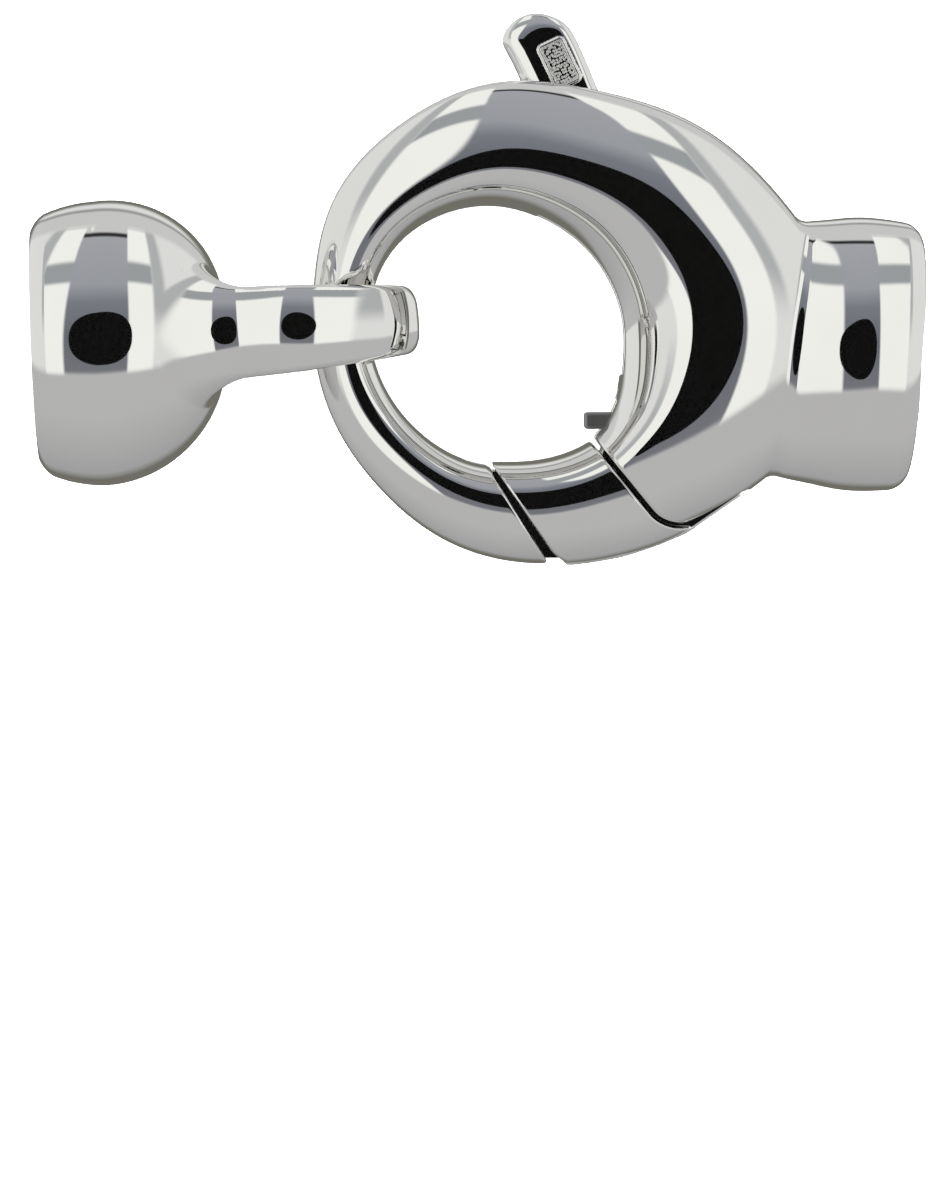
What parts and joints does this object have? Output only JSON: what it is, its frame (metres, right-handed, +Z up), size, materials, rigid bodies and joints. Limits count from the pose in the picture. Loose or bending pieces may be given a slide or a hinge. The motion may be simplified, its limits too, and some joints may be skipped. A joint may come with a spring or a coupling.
{
  "type": "trigger clasp for a strand",
  "caption": "Round trigger clasp in polished white metal: a crescent ring with a sprung gate and thumb tab, a fixed cup, and a loose cup hooked on by its bail.",
  "frame": {"origin": "on the surface that the clasp lies on, below the middle of the whole clasp", "axes": "+X runs along the strand from the loose cup to the fixed cup, +Y is the side of the thumb tab, +Z is up, out of the face that is looked at"},
  "size_m": [0.0346, 0.0214, 0.0109],
  "materials": {
    "polished_metal": "mirror polished",
    "pin_metal": "polished",
    "spring_metal": "dull"
  },
  "bodies": {
    "casting": {"clasp_body": "polished_metal", "pivot_pin": "pin_metal"},
    "lever": {"trigger_lever": "polished_metal", "return_spring": "spring_metal"},
    "loose_end": {"end_cap": "polished_metal"}
  },
  "joints": [
    {"name": "lever_swing", "type": "hinge", "parent": "casting", "child": "lever", "pos_m": [0.00832, -0.00423, 0.00431], "axis": [0, 0, -1], "range_deg": [0, 15], "stiffness_Nm_per_rad": 0.03, "springref_deg": -34.38},
    {"name": "end_cap_swing", "type": "hinge", "parent": "casting", "child": "loose_end", "pos_m": [-0.00545, -0.00136, 0.00431], "axis": [0, 1, 0], "range_deg": [-90, 90]}
  ]
}
